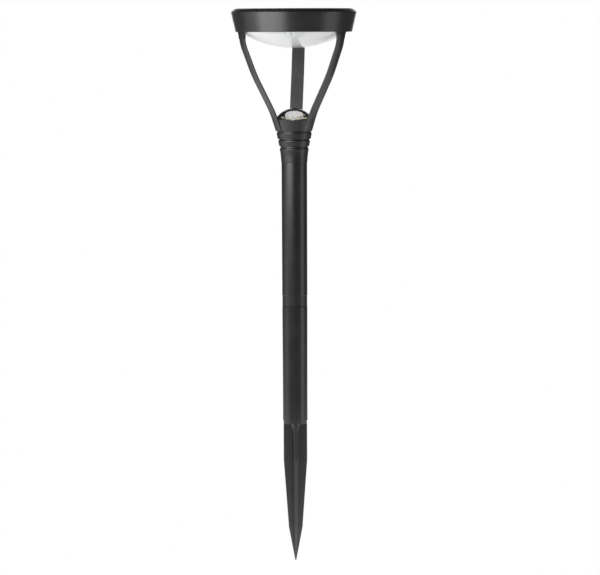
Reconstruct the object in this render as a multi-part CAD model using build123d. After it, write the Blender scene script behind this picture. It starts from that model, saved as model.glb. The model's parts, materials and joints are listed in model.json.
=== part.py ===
"""Solar garden light on a push-together pole, in millimetres.

A round lantern head (solar panel on top, white reflector dome underneath) stands on three flat arms over a
ribbed neck cup, whose clear lens covers the LEDs that light the dome from below. The neck pushes into a
pole of two tubes with a coupler between them, and the pole pushes onto a four-finned ground spike.

+Z is up. The origin is on the pole's axis at ground level, where the underside of the spike's flange rests
on the soil. The rear arm stands at +Y and the power button is at the front, at -Y.
"""
from build123d import *
import math
import os

# ---------------------------------------------------------------- driving dimensions
POLE_BORE_R = 13.5          # bore of both tubes
SPIGOT_CLEARANCE = 0.08     # push fit of every spigot, on the radius
SPIGOT_R = POLE_BORE_R - SPIGOT_CLEARANCE
SPIGOT_LENGTH = 40.0

SPIKE_LENGTH = 179.4        # ground level to tip
SPIKE_R = 15.25             # reach of the fins and radius of the flange
FIN_STRAIGHT = 47.5         # the fins keep their full width for this depth
FIN_SHOULDER = (8.9, 135.8)  # half width and depth where the point begins
FIN_THICKNESS = 5.6
FIN_TURN = 9.0              # degrees that the fins stand turned from the arms
FLANGE_T = 3.8

LOWER_POLE_TOP = 153.5
LOWER_SEAT_R = 16.0         # straight stretch at the foot of the lower tube
LOWER_SEAT_LENGTH = 45.0
LOWER_TOP_R = 16.35
COUPLER_R = 16.15
COUPLER_BAND = 13.8
UPPER_POLE_BASE = LOWER_POLE_TOP + COUPLER_BAND
UPPER_BASE_R = 16.4
UPPER_TOP_R = 16.65
UPPER_POLE_TOP = 340.7

NECK_Z = UPPER_POLE_TOP
NECK_BORE_R = 10.4
CUP_H = 56.1                # height of the cup's rim above the pole
CUP_RIM_R = 27.4
# each rib of the neck: (radius at its foot, height of its foot, radius at its top, height of its top)
NECK_RIBS = [(19.5, 21.2, 20.75, 27.3), (21.6, 30.7, 22.95, 37.8)]
NECK_GROOVES = [17.9, 19.6, 22.0]
CUP_FOOT = (23.3, 40.8)
SCALLOP_DEPTH = 1.0         # the rim dips by this much between the arms
SCALLOP_R = 80.0
CAVITY_R = 17.0             # room under the LED board
BOARD_SEAT_Z = 392.0
LED_BOARD_R = 20.2
LED_BOARD_T = 1.6
LED_SCREW_R = 18.5
LENS_R = 24.9
LENS_SPHERE_R = 27.9
LENS_TOP_Z = 411.3
LENS_STEP_Z = 394.4         # below this the lens is a narrower skirt round the board
SKIRT_R = 23.0
SKIRT_BASE_Z = 391.2
LED_COUNT = 6
LED_CIRCLE_R = 10.4
CENTRE_CAP_R = 8.3
CENTRE_CAP_H = 3.9
O_RING_Z = NECK_Z - 26.0
O_RING_R = 12.2
O_RING_SECTION = 1.25
SPIGOT_FOOT = NECK_Z - SPIGOT_LENGTH
CAVITY_FLOOR = NECK_Z + 36.0
LEAD_HOLE_Z = 384.4         # way of the leads from the cavity to the rear arm

ARM_ANGLES = {"arm_rear": 90.0, "arm_left": 210.0, "arm_right": 330.0}
ARM_WIDTH = 16.7
ARM_EDGE_T = 1.5
ARM_CROWN = 1.6
# the inner face of an arm as (radius, height): foot, lower bend, middle bend, upper bend, top
ARM_PATH = [(21.65, 383.3), (29.35, 405.5), (55.7, 454.3), (72.4, 496.3), (72.8, 509.9)]
ARM_BENDS = [130.0, 188.0, 49.0]
ARM_FOOT_Z = NECK_Z + CUP_FOOT[1]
CHANNEL_W = 4.4
CHANNEL_D = 1.9
COVER_T = 0.6
COVER_GAP = 0.15            # between the cover strip and the lead
LEAD_R = 0.42
LEAD_GAP = 0.65             # half the distance between the two cores
FOOT_SCREW_Z = 388.4
FOOT_SCREW_U = 5.2
FOOT_SCREW_TIP = 25.3
TOP_SCREW_RISE = 9.7        # above the underside of the rim
TOP_SCREW_U = 3.9
TOP_SCREW_TIP = 76.3

RIM_BASE_Z = 509.9
RIM_BASE_R = 75.8
RIM_EDGE_Z = 535.3          # widest level, where the bevel begins
RIM_EDGE_R = 81.5
RIM_TOP_Z = 539.4
RIM_WALL = 2.6
RIM_SLOPE = (RIM_EDGE_R - RIM_BASE_R) / (RIM_EDGE_Z - RIM_BASE_Z)
LIP_R = 70.9                # opening for the dome
LIP_H = 4.5
LEDGE_Z = 536.2
LEDGE_R = 74.2
RECESS_R = 76.7
TONGUE_R = (71.0, 73.1)
TONGUE_TOP = RIM_BASE_Z + 14.2
TONGUE_HALF_W = 6.0
TOP_SCREW_Z = RIM_BASE_Z + TOP_SCREW_RISE

DOME_SPHERE_R = 130.6
DOME_BOTTOM_Z = 489.0
DOME_T = 1.8
DOME_WALL_R = 70.6
DOME_FLANGE_R = 73.3
DOME_FLANGE_Z = RIM_BASE_Z + LIP_H
DOME_CENTRE_Z = DOME_BOTTOM_Z + DOME_SPHERE_R
DOME_SCREW_R = 72.1
DOME_SCREW_ANGLES = [0.0, 60.0, 120.0, 180.0, 240.0, 300.0]

GLASS_R = 76.5
GLASS_T = 3.0
GASKET_T = 1.0
PANEL_R = 73.8
PANEL_T = 1.2
CELL_T = 0.25
RIBBON_T = 0.15
GLASS_UNDER = LEDGE_Z + GASKET_T
CELL_TOP = GLASS_UNDER - RIBBON_T
CELL_LOW = CELL_TOP - CELL_T
CELL_SIZE = (47.0, 15.4)
CELL_GAP = 1.0
CELL_COLUMNS = 2
CELL_ROWS = 6

TRAY_Z = RIM_BASE_Z - 3.8
TRAY_T = 2.0
TRAY_SIZE = (92.0, 74.0)
TRAY_POSTS = [(x, y) for x in (-32.0, 32.0) for y in (-31.0, 31.0)]
BATTERY_R = 9.1
BATTERY_L = 65.0
BATTERY_Y = -12.0
BATTERY_Z = TRAY_Z + TRAY_T + BATTERY_R + 0.6
CONTROL_SIZE = (58.0, 26.0, 1.6)
CONTROL_Y = 20.0
CONTROL_Z = TRAY_Z + TRAY_T + 4.0
PLUG_Y = (CONTROL_Y + 4.5, CONTROL_Y + 10.0)
PLUG_Z = CONTROL_Z + CONTROL_SIZE[2] + 1.5

BUTTON_RING_R = 66.0        # distance of the button from the axis
BUTTON_R = 3.2
BUTTON_PROUD = 1.2          # also its travel: pressed home it is flush
BUTTON_CLEARANCE = 0.08
SLEEVE_DEPTH = 5.8
SWITCH_DEPTH = 11.6         # inwards from the dome's face to the outer face of the switch board
SWITCH_POST_X = 8.0


# ---------------------------------------------------------------- helpers
def turned(points):
    """A solid turned about Z from a closed outline of (radius, height)."""
    outline = make_face(Polyline(*points, close=True))
    return revolve(Plane.XZ * outline, Axis.Z)


def ring(r_out, r_in, z_low, z_high):
    """A flat ring or tube about Z."""
    return disc(r_out, z_low, z_high) - disc(r_in, z_low - 1, z_high + 1)


def disc(r, z_low, z_high, x=0.0, y=0.0):
    """A round plate or post standing on z_low."""
    return Pos(x, y, (z_low + z_high) / 2) * Cylinder(r, z_high - z_low)


def block(x, y, z):
    """A box from its (low, high) limits along each axis."""
    size = [b - a for a, b in (x, y, z)]
    return Pos(*[(a + b) / 2 for a, b in (x, y, z)]) * Box(*size)


def about_z(shape, angle):
    return Rot(0, 0, angle) * shape


def joined(shapes):
    """Several touching shapes as one solid."""
    shapes = list(shapes)
    total = shapes[0]
    for shape in shapes[1:]:
        total = total + shape
    return total


def group(shapes):
    """Several separate solids as one node."""
    return Compound(children=[s for shape in shapes for s in shape.solids()])


def pan_screw(length, shank_r=1.0, head_r=2.0, head_t=1.5):
    """A cross-recessed pan-head screw; its head's underside is at z 0 and its shank points down."""
    head = fillet(Cylinder(head_r, head_t).edges().sort_by(Axis.Z)[-1], head_t * 0.45)
    screw = Pos(0, 0, head_t / 2) * head
    screw += Pos(0, 0, -length / 2) * Cylinder(shank_r, length)
    slot = Box(head_r * 1.2, 0.45, 1.4) + Box(0.45, head_r * 1.2, 1.4)
    return screw - Pos(0, 0, head_t) * slot


def radial_pin(radius, reach, z, u=0.0):
    """A cylinder along X between two distances from the axis, u beside it."""
    return Pos((reach[0] + reach[1]) / 2, u, z) * Rot(0, 90, 0) * Cylinder(radius, reach[1] - reach[0])


def radial_screw(length, r_head, z, u, angle):
    """A screw that points outwards from the axis at the given height, u beside the arm's middle."""
    return about_z(Pos(r_head, u, z) * Rot(0, -90, 0) * pan_screw(length), angle)


def lead(points, radii, shift, angle):
    """One core of a lead: straight runs and tangent arcs through (radius, height) points at an angle."""
    path = FilletPolyline(*[(r, shift, z) for r, z in points], radius=radii)
    profile = Plane(origin=path @ 0, z_dir=path % 0) * Circle(LEAD_R)
    return about_z(sweep(profile, path=path), angle)


def wire(points, radii, r=0.5):
    """A round insulated wire through 3-D points."""
    path = FilletPolyline(*points, radius=radii)
    return sweep(Plane(origin=path @ 0, z_dir=path % 0) * Circle(r), path=path)


# ---------------------------------------------------------------- spike and pole
def spigot(z_low, z_high, tip_up):
    """A hollow push-fit spigot with a lead-in chamfer on its free end."""
    body = ring(SPIGOT_R, SPIGOT_R - 2.6, z_low, z_high)
    rim = body.edges().filter_by(GeomType.CIRCLE).group_by(Axis.Z)[-1 if tip_up else 0]
    return chamfer(rim.sort_by(SortBy.RADIUS)[-1], 1.2)


def spike_fin():
    """One blade of the spike: a pointed outline, thinner towards the tip."""
    half, depth = FIN_SHOULDER
    side = [(SPIKE_R, 0), (SPIKE_R, -FIN_STRAIGHT), (half, -depth), (0.7, -SPIKE_LENGTH)]
    outline = side + [(-x, z) for x, z in reversed(side)]
    thick = [(FIN_THICKNESS / 2, 0), (FIN_THICKNESS * 0.36, -depth), (0.7, -SPIKE_LENGTH)]
    wedge = thick + [(-x, z) for x, z in reversed(thick)]
    blade = extrude(Plane.XZ * make_face(Polyline(*outline, close=True)), FIN_THICKNESS, both=True)
    limit = extrude(Plane.YZ * make_face(Polyline(*wedge, close=True)), 2 * SPIKE_R, both=True)
    blade = blade & limit
    upper = [e for e in blade.edges() if abs(e.center().Z) > 1 and e.length > 20]
    return chamfer(upper, 0.6)


def ground_spike():
    fins = spike_fin() + about_z(spike_fin(), 90)
    flange = chamfer(disc(SPIKE_R, 0, FLANGE_T).edges().filter_by(GeomType.CIRCLE), 0.4)
    root = Pos(0, 0, -7) * Cone(3.0, 7.5, 14)
    spike = joined([fins, flange, root, spigot(FLANGE_T, FLANGE_T + SPIGOT_LENGTH, True)])
    return about_z(spike, FIN_TURN)


def tube(profile):
    """A tube with the shared bore; profile is its outside as (radius, height) from bottom to top."""
    low, high = profile[0][1], profile[-1][1]
    return turned([(POLE_BORE_R, low), *profile, (POLE_BORE_R, high)])


def lower_pole():
    edge = 0.7
    return tube([
        (LOWER_SEAT_R - 0.4, FLANGE_T),
        (LOWER_SEAT_R, FLANGE_T + 0.4),
        (LOWER_SEAT_R, FLANGE_T + LOWER_SEAT_LENGTH),
        (LOWER_TOP_R, LOWER_POLE_TOP - edge),
        (LOWER_TOP_R - edge, LOWER_POLE_TOP),
    ])


def pole_coupler():
    edge = 0.3
    low, high = LOWER_POLE_TOP, UPPER_POLE_BASE
    band = turned([
        (SPIGOT_R - 2.6, low), (COUPLER_R - edge, low), (COUPLER_R, low + edge),
        (COUPLER_R, high - edge), (COUPLER_R - edge, high), (SPIGOT_R - 2.6, high),
    ])
    return joined([band, spigot(low - SPIGOT_LENGTH, low, False), spigot(high, high + SPIGOT_LENGTH, True)])


def upper_pole():
    edge = 0.4
    return tube([
        (UPPER_BASE_R - edge, UPPER_POLE_BASE),
        (UPPER_BASE_R, UPPER_POLE_BASE + edge),
        (UPPER_TOP_R, UPPER_POLE_TOP - 0.2),
        (UPPER_TOP_R - 0.2, UPPER_POLE_TOP),
    ])


# ---------------------------------------------------------------- neck and its LEDs
def neck_outline():
    """The neck's outside from the pole up: a flared foot, two ribs over narrow grooves, and the cup."""
    foot = [(16.95, 0), (17.15, 2.5), (17.6, 8.8), (18.15, 13.0), (18.9, 16.9)]
    points = [(r, NECK_Z + h) for r, h in foot]
    for groove, (foot_r, foot_h, top_r, top_h) in zip(NECK_GROOVES, NECK_RIBS):
        below = points[-1]
        points += [
            (below[0] - 0.15, below[1] + 1.0),
            (groove, below[1] + 2.1),
            (groove, NECK_Z + foot_h - 0.5),
            (foot_r, NECK_Z + foot_h),
            (top_r, NECK_Z + top_h),
        ]
    below = points[-1]
    foot_r, foot_h = CUP_FOOT
    points += [
        (below[0] - 0.1, below[1] + 0.7),
        (NECK_GROOVES[-1], below[1] + 1.4),
        (NECK_GROOVES[-1], NECK_Z + foot_h - 0.6),
        (foot_r, NECK_Z + foot_h),
        (CUP_RIM_R - 0.15, NECK_Z + CUP_H - 0.8),
        (CUP_RIM_R - 0.7, NECK_Z + CUP_H),
    ]
    return points


def neck_cup(arms):
    """The ribbed neck: cup above, wiring room in the middle, spigot with an O-ring groove below."""
    outside = neck_outline()
    gasket_z = SKIRT_BASE_Z - GASKET_T
    inside = [
        (LENS_R + 0.1, NECK_Z + CUP_H), (LENS_R + 0.1, LENS_STEP_Z - 0.1),
        (SKIRT_R + 0.1, LENS_STEP_Z - 0.1), (SKIRT_R + 0.1, gasket_z), (LED_BOARD_R, gasket_z),
        (LED_BOARD_R, BOARD_SEAT_Z), (CAVITY_R, BOARD_SEAT_Z), (CAVITY_R, CAVITY_FLOOR),
        (0, CAVITY_FLOOR), (0, CAVITY_FLOOR - 3.0), (NECK_BORE_R, CAVITY_FLOOR - 6.0),
        (NECK_BORE_R, SPIGOT_FOOT),
    ]
    foot = [
        (SPIGOT_R - 1.2, SPIGOT_FOOT), (SPIGOT_R, SPIGOT_FOOT + 1.2),
        (SPIGOT_R, O_RING_Z - 1.45), (10.9, O_RING_Z - 1.45),
        (10.9, O_RING_Z + 1.45), (SPIGOT_R, O_RING_Z + 1.45), (SPIGOT_R, NECK_Z),
    ]
    # the neck's bore is narrower where the O-ring's groove would otherwise leave too thin a wall
    choke = ring(NECK_BORE_R + 0.5, 8.6, O_RING_Z - 4, O_RING_Z + 4)
    cup = turned(foot + outside + inside) + choke
    for arm in arms:
        cup -= arm
    for angle in ARM_ANGLES.values():
        for u in (-FOOT_SCREW_U, FOOT_SCREW_U):
            cup -= about_z(radial_pin(1.15, (CAVITY_R - 3, FOOT_SCREW_TIP), FOOT_SCREW_Z, u), angle)
            cup -= about_z(radial_pin(2.2, (CAVITY_R - 3, CAVITY_R - 0.1), FOOT_SCREW_Z, u), angle)
        scallop = radial_pin(SCALLOP_R, (LENS_R, 32.0), NECK_Z + CUP_H - SCALLOP_DEPTH + SCALLOP_R, 0)
        cup -= about_z(scallop, angle + 60)
    # way for the leads from the cavity into the rear arm's channel
    way = along_arm(channel_section(CHANNEL_W, -0.1, CHANNEL_D))
    way &= block((0, 40), (-9, 9), (LEAD_HOLE_Z - 1.9, NECK_Z + CUP_H + 1))
    hole_z = (LEAD_HOLE_Z - 1.9, LEAD_HOLE_Z + 1.2)
    way += block((CAVITY_R - 1, 23.0), (-CHANNEL_W / 2, CHANNEL_W / 2), hole_z)
    cup -= about_z(way, ARM_ANGLES["arm_rear"])
    for angle in ARM_ANGLES.values():
        cup -= about_z(disc(0.9, BOARD_SEAT_Z - 4.0, BOARD_SEAT_Z + 1, LED_SCREW_R), angle)
    return cup


def neck_o_ring():
    return Pos(0, 0, O_RING_Z) * Torus(O_RING_R, O_RING_SECTION)


def clear_lens():
    """The thick clear dome moulded over the LED board, with a skirt round the board's edge."""
    ball = Pos(0, 0, LENS_TOP_Z - LENS_SPHERE_R) * Sphere(LENS_SPHERE_R)
    lens = ball & (disc(LENS_R, LENS_STEP_Z, LENS_TOP_Z + 1) + disc(SKIRT_R, SKIRT_BASE_Z, LENS_TOP_Z))
    lens -= disc(LED_BOARD_R + 0.2, SKIRT_BASE_Z - 1, BOARD_SEAT_Z + LED_BOARD_T)
    for covered in (led_chips(), centre_cap(), led_board_screws()):
        for solid in covered.solids():
            lens -= solid
    return lens


def lens_gasket():
    return ring(SKIRT_R, LED_BOARD_R + 0.6, SKIRT_BASE_Z - GASKET_T, SKIRT_BASE_Z)


def led_board():
    board = disc(LED_BOARD_R, BOARD_SEAT_Z, BOARD_SEAT_Z + LED_BOARD_T)
    for angle in ARM_ANGLES.values():
        board -= about_z(disc(1.05, BOARD_SEAT_Z - 1, BOARD_SEAT_Z + 3, LED_SCREW_R), angle)
    return board


def led_chips():
    top = BOARD_SEAT_Z + LED_BOARD_T
    chip = block((-1.4, 1.4), (-1.75, 1.75), (top, top + 0.8))
    return group(about_z(Pos(LED_CIRCLE_R, 0, 0) * chip, 360 / LED_COUNT * i) for i in range(LED_COUNT))


def centre_cap():
    """The white cap that stands on the middle of the LED board."""
    top = BOARD_SEAT_Z + LED_BOARD_T
    cap = disc(CENTRE_CAP_R, top, top + CENTRE_CAP_H)
    return fillet(cap.edges().sort_by(Axis.Z)[-1], 0.4)


def led_board_screws():
    screw = pan_screw(4.5, shank_r=0.9, head_r=1.5, head_t=0.9)
    top = BOARD_SEAT_Z + LED_BOARD_T
    return group(about_z(Pos(LED_SCREW_R, 0, top) * screw, a) for a in ARM_ANGLES.values())


# ---------------------------------------------------------------- arms and the lead in the rear one
def arm_line():
    """The inner face of an arm in its own plane, run on past both ends so that it can be cut level."""
    run = 4.0
    low = beyond(ARM_PATH[1], ARM_PATH[0], run)
    high = beyond(ARM_PATH[-2], ARM_PATH[-1], run)
    return FilletPolyline(*[(r, 0, z) for r, z in (low, *ARM_PATH[1:-1], high)], radius=ARM_BENDS)


def beyond(a, b, run):
    """The point a distance further along the line from a through b."""
    length = math.dist(a, b)
    return tuple(q + (q - p) * run / length for p, q in zip(a, b))


def along_arm(section):
    """A section swept along the arm; its x runs across the arm and its y points outwards."""
    path = arm_line()
    return sweep(Plane(origin=path @ 0, x_dir=(0, -1, 0), z_dir=path % 0) * section, path=path)


def arm_section():
    half = ARM_WIDTH / 2
    outline = Polyline((-half, ARM_EDGE_T), (-half, 0), (half, 0), (half, ARM_EDGE_T))
    crown = ThreePointArc((half, ARM_EDGE_T), (0, ARM_EDGE_T + ARM_CROWN), (-half, ARM_EDGE_T))
    return fillet(make_face([*outline.edges(), crown]).vertices(), 0.55)


def channel_section(width, near, far):
    return Pos(0, (near + far) / 2) * Rectangle(width, far - near)


def arm_flare():
    """The arm's widened top, flush with the rim above it, and its gusset."""
    half = ARM_WIDTH / 2
    top, low = RIM_BASE_Z, RIM_BASE_Z - 8.8
    wing = [(-half, low), (half, low), (half + 0.5, top - 4.3), (half + 1.3, top - 2.0), (half + 3.0, top)]
    wing += [(-x, z) for x, z in reversed(wing[2:])]
    spread = extrude(Plane.YZ * make_face(Polyline(*wing, close=True)), 90)
    r = RIM_BASE_R
    shell = turned([(r - 3.0, low), (r - 0.9, low), (r, top), (r - 2.6, top)])
    gusset = make_face(Polyline((TONGUE_R[0], top), (74.0, top), (73.6, top - 8.3), (72.8, top - 7.3),
                                (71.9, top - 2.8), close=True))
    return (shell & spread) + extrude(Plane.XZ * gusset, half - 0.6, both=True)


def arm(name):
    """One arm with a tongue at its top that stands inside the rim."""
    body = along_arm(arm_section()) & block((0, 90), (-20, 20), (ARM_FOOT_Z, RIM_BASE_Z))
    body += arm_flare()
    body += block(TONGUE_R, (-TONGUE_HALF_W, TONGUE_HALF_W), (RIM_BASE_Z - 0.5, TONGUE_TOP))
    for u in (-FOOT_SCREW_U, FOOT_SCREW_U):
        body -= radial_pin(1.0, (20.0, FOOT_SCREW_TIP), FOOT_SCREW_Z, u)
    for u in (-TOP_SCREW_U, TOP_SCREW_U):
        body -= radial_pin(1.1, (69.0, 75.0), TOP_SCREW_Z, u)
    if name == "arm_rear":
        channel = along_arm(channel_section(CHANNEL_W, -0.5, CHANNEL_D))
        body -= channel & block((0, 90), (-9, 9), (LEAD_HOLE_Z - 1.9, RIM_BASE_Z))
        body -= block((70, 74.9), (-CHANNEL_W / 2, CHANNEL_W / 2), (RIM_BASE_Z - 8.3, RIM_BASE_Z))
        body -= block((70, 74), (-CHANNEL_W / 2, CHANNEL_W / 2), (RIM_BASE_Z - 1, TONGUE_TOP - 1.6))
    return about_z(body, ARM_ANGLES[name])


def cable_cover():
    """The strip that snaps into the rear arm's channel over the lead."""
    strip = along_arm(channel_section(CHANNEL_W - 0.2, 0, COVER_T))
    strip &= block((0, 90), (-9, 9), (NECK_Z + CUP_H + 1.5, RIM_BASE_Z - 8.8))
    return about_z(strip, ARM_ANGLES["arm_rear"])


def arm_foot_screws():
    return group(
        radial_screw(FOOT_SCREW_TIP - CAVITY_R + 0.1, CAVITY_R - 0.1, FOOT_SCREW_Z, u, angle)
        for angle in ARM_ANGLES.values() for u in (-FOOT_SCREW_U, FOOT_SCREW_U)
    )


def arm_top_screws():
    return group(
        radial_screw(TOP_SCREW_TIP - TONGUE_R[0], TONGUE_R[0], TOP_SCREW_Z, u, angle)
        for angle in ARM_ANGLES.values() for u in (-TOP_SCREW_U, TOP_SCREW_U)
    )


def led_lead(side):
    """One core from the control board down the rear arm's channel to the LED board."""
    depth = COVER_T + COVER_GAP + LEAD_R
    corners = [parallel_corner(*ARM_PATH[i - 1:i + 2], depth) for i in (1, 2, 3)]
    foot_r = corners[0][0] - (corners[0][1] - LEAD_HOLE_Z) * lean(ARM_PATH[0], ARM_PATH[1], math.tan)
    points = [
        (8.0, BOARD_SEAT_Z), (8.0, LEAD_HOLE_Z), (foot_r, LEAD_HOLE_Z), *corners,
        (ARM_PATH[-1][0] + depth - 0.1, RIM_BASE_Z - 3.5), (72.2, RIM_BASE_Z - 0.4), (72.2, PLUG_Z + 5.0),
        (50.0, PLUG_Z), (PLUG_Y[1], PLUG_Z),
    ]
    bends = (ARM_BENDS[0] - depth, ARM_BENDS[1] + depth, ARM_BENDS[2] + depth)
    radii = [1.6, 1.0, *bends, 2.0, 2.0, 2.0, 20.0]
    return lead(points, radii, side * LEAD_GAP, ARM_ANGLES["arm_rear"])


def lean(a, b, of=float):
    """The angle of the line from a to b away from the upright, or a function of it."""
    return of(math.atan2(b[0] - a[0], b[1] - a[1]))


def parallel_corner(a, b, c, depth):
    """The corner at b of a line that runs outside a, b, c at a constant distance."""
    before, after = lean(a, b), lean(b, c)
    middle = (before + after) / 2
    shift = depth / math.cos((after - before) / 2)
    return (b[0] + shift * math.cos(middle), b[1] - shift * math.sin(middle))


# ---------------------------------------------------------------- head
def rim_wall_r(z):
    """Outside radius of the rim at a height below its bevel."""
    return RIM_BASE_R + (z - RIM_BASE_Z) * RIM_SLOPE


def head_rim():
    """The tapered rim: ledge for the panel above, lip for the dome below, bosses for the arms' tongues."""
    lip_z = RIM_BASE_Z + LIP_H
    corner_z = LEDGE_Z - 6.0
    rim = turned([
        (LIP_R, RIM_BASE_Z), (RIM_BASE_R - 0.3, RIM_BASE_Z), (RIM_BASE_R + 0.1, RIM_BASE_Z + 0.4),
        (RIM_EDGE_R, RIM_EDGE_Z), (RIM_EDGE_R - 0.25, RIM_EDGE_Z + 0.6), (RECESS_R + 1.2, RIM_TOP_Z - 0.2),
        (RECESS_R + 0.7, RIM_TOP_Z), (RECESS_R, RIM_TOP_Z), (RECESS_R, LEDGE_Z), (LEDGE_R, LEDGE_Z),
        (LEDGE_R, LEDGE_Z - 2.0), (rim_wall_r(corner_z) - RIM_WALL, corner_z),
        (rim_wall_r(lip_z) - RIM_WALL, lip_z), (LIP_R, lip_z),
    ])
    solid_cone = turned([(0, RIM_BASE_Z), (RIM_BASE_R - 0.5, RIM_BASE_Z), (RIM_EDGE_R - 0.5, RIM_EDGE_Z),
                         (0, RIM_EDGE_Z)])
    for angle in ARM_ANGLES.values():
        boss = block((TONGUE_R[1] + 0.1, 80), (-7, 7), (lip_z - 1, TONGUE_TOP)) & solid_cone
        rim += about_z(boss, angle)
        notch = block((LIP_R - 1, TONGUE_R[1] + 0.1), (-TONGUE_HALF_W - 0.2, TONGUE_HALF_W + 0.2),
                      (RIM_BASE_Z - 1, TONGUE_TOP + 1))
        rim -= about_z(notch, angle)
        for u in (-TOP_SCREW_U, TOP_SCREW_U):
            rim -= about_z(radial_pin(1.0, (72.0, TOP_SCREW_TIP), TOP_SCREW_Z, u), angle)
    for angle in DOME_SCREW_ANGLES:
        rim -= about_z(disc(0.9, lip_z - 3.9, lip_z + 1, DOME_SCREW_R), angle)
    return rim


def dome_height(r):
    """Height of the dome's outer face at a distance from the axis."""
    return DOME_CENTRE_Z - math.sqrt(DOME_SPHERE_R**2 - r**2)


def button_place():
    """The plane of the button: origin on the dome's face, z pointing inwards along its normal."""
    z = dome_height(BUTTON_RING_R)
    inward = (0, BUTTON_RING_R, DOME_CENTRE_Z - z)
    return Plane(origin=(0, -BUTTON_RING_R, z), x_dir=(1, 0, 0), z_dir=inward)


def reflector_dome():
    """The white shallow dome: flange on the rim's lip, posts for the tray, sleeve for the button."""
    wall_z = dome_height(DOME_WALL_R)
    top = DOME_FLANGE_Z + DOME_T
    bowl = Pos(0, 0, DOME_CENTRE_Z) * (Sphere(DOME_SPHERE_R) - Sphere(DOME_SPHERE_R - DOME_T))
    dome = bowl & disc(DOME_WALL_R, DOME_BOTTOM_Z - 1, wall_z + 2.0)
    dome += ring(DOME_WALL_R, DOME_WALL_R - DOME_T, wall_z, top)
    dome += ring(DOME_FLANGE_R, DOME_WALL_R - DOME_T, DOME_FLANGE_Z, top)
    inside = Pos(0, 0, DOME_CENTRE_Z) * Sphere(DOME_SPHERE_R - 0.5)
    for x, y in TRAY_POSTS:
        dome += disc(3.2, DOME_BOTTOM_Z, TRAY_Z, x, y) & inside
        dome -= disc(0.9, TRAY_Z - 6.0, TRAY_Z + 1, x, y)
    place = button_place()
    fittings = Pos(0, 0, SLEEVE_DEPTH / 2) * Cylinder(BUTTON_R + 2.2, SLEEVE_DEPTH)
    for x in (-SWITCH_POST_X, SWITCH_POST_X):
        fittings += Pos(x, 0.6, SWITCH_DEPTH / 2) * Cylinder(1.9, SWITCH_DEPTH)
        fittings -= Pos(x, 0.6, SWITCH_DEPTH - 2.0) * Cylinder(0.8, 5.0)
    dome += (place * fittings) & inside & disc(DOME_WALL_R, DOME_BOTTOM_Z, 530)
    dome -= place * Cylinder(BUTTON_R + BUTTON_CLEARANCE, 30)
    for angle in ARM_ANGLES.values():
        notch = block((DOME_WALL_R + 0.1, 80), (-7.4, 7.4), (DOME_FLANGE_Z - 1, top + 1))
        dome -= about_z(notch, angle)
    for angle in DOME_SCREW_ANGLES:
        dome -= about_z(disc(1.05, DOME_FLANGE_Z - 1, top + 1, DOME_SCREW_R), angle)
    return dome


def dome_screws():
    screw = pan_screw(5.4, shank_r=0.9, head_r=1.7, head_t=1.2)
    placed = Pos(DOME_SCREW_R, 0, DOME_FLANGE_Z + DOME_T) * screw
    return group(about_z(placed, angle) for angle in DOME_SCREW_ANGLES)


def panel_gasket():
    return ring(GLASS_R, LEDGE_R + 0.2, LEDGE_Z, LEDGE_Z + GASKET_T)


def panel_glass():
    glass = disc(GLASS_R, LEDGE_Z + GASKET_T, LEDGE_Z + GASKET_T + GLASS_T)
    return chamfer(glass.edges().sort_by(Axis.Z)[-1], 0.5)


def solar_board():
    return disc(PANEL_R, CELL_LOW - PANEL_T, CELL_LOW)


def cell_centres():
    """Centre of each solar cell, row by row."""
    pitch = [s + CELL_GAP for s in CELL_SIZE]
    return [
        ((c - (CELL_COLUMNS - 1) / 2) * pitch[0], (r - (CELL_ROWS - 1) / 2) * pitch[1])
        for r in range(CELL_ROWS) for c in range(CELL_COLUMNS)
    ]


def solar_cells():
    cell = Box(*CELL_SIZE, CELL_T)
    return group(Pos(x, y, CELL_LOW + CELL_T / 2) * cell for x, y in cell_centres())


def cell_ribbons():
    """Two silver ribbons down each column of cells, and the bars that join the columns."""
    length = CELL_ROWS * (CELL_SIZE[1] + CELL_GAP) + 2.0
    columns = sorted({x for x, _ in cell_centres()})
    z = (CELL_TOP, CELL_TOP + RIBBON_T)
    strips = [block((x + s - 0.6, x + s + 0.6), (-length / 2, length / 2), z)
              for x in columns for s in (-CELL_SIZE[0] / 4, CELL_SIZE[0] / 4)]
    for end in (-1, 1):
        for x in columns:
            bar = block((x - CELL_SIZE[0] / 4 - 0.6, x + CELL_SIZE[0] / 4 + 0.6), (-1.0, 1.0), z)
            strips.append(Pos(0, end * (length / 2 + 1.0), 0) * bar)
    return group(strips)


# ---------------------------------------------------------------- electronics in the head
def component_tray():
    """The plate that carries the control board and, in two cradles, the battery."""
    top = TRAY_Z + TRAY_T
    plate = Pos(0, 0, TRAY_Z) * extrude(RectangleRounded(*TRAY_SIZE, 8), TRAY_T)
    x_end = BATTERY_L / 2
    cradle_r = BATTERY_R + 0.2
    axis_z = top + BATTERY_R + 0.6
    for x in (-22.0, 22.0):
        saddle = block((x - 2, x + 2), (BATTERY_Y - 11.5, BATTERY_Y + 11.5), (top - 0.5, top + 8.0))
        plate += saddle - Pos(x, BATTERY_Y, axis_z) * Rot(0, 90, 0) * Cylinder(cradle_r, 10)
    for end in (-1, 1):
        wall = block((x_end + 4.2, x_end + 6.2), (BATTERY_Y - 9, BATTERY_Y + 9), (top - 0.5, top + 17))
        plate += wall if end > 0 else mirror(wall, Plane.YZ)
    for x, y in control_posts():
        plate += disc(2.4, top - 0.5, CONTROL_Z, x, y) - disc(0.9, CONTROL_Z - 3.6, CONTROL_Z + 1, x, y)
    for x, y in TRAY_POSTS:
        plate -= disc(1.1, TRAY_Z - 1, top + 1, x, y)
    return plate


def control_posts():
    return [(x, CONTROL_Y + y) for x in (-25.5, 25.5) for y in (-9.5, 9.5)]


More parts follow.
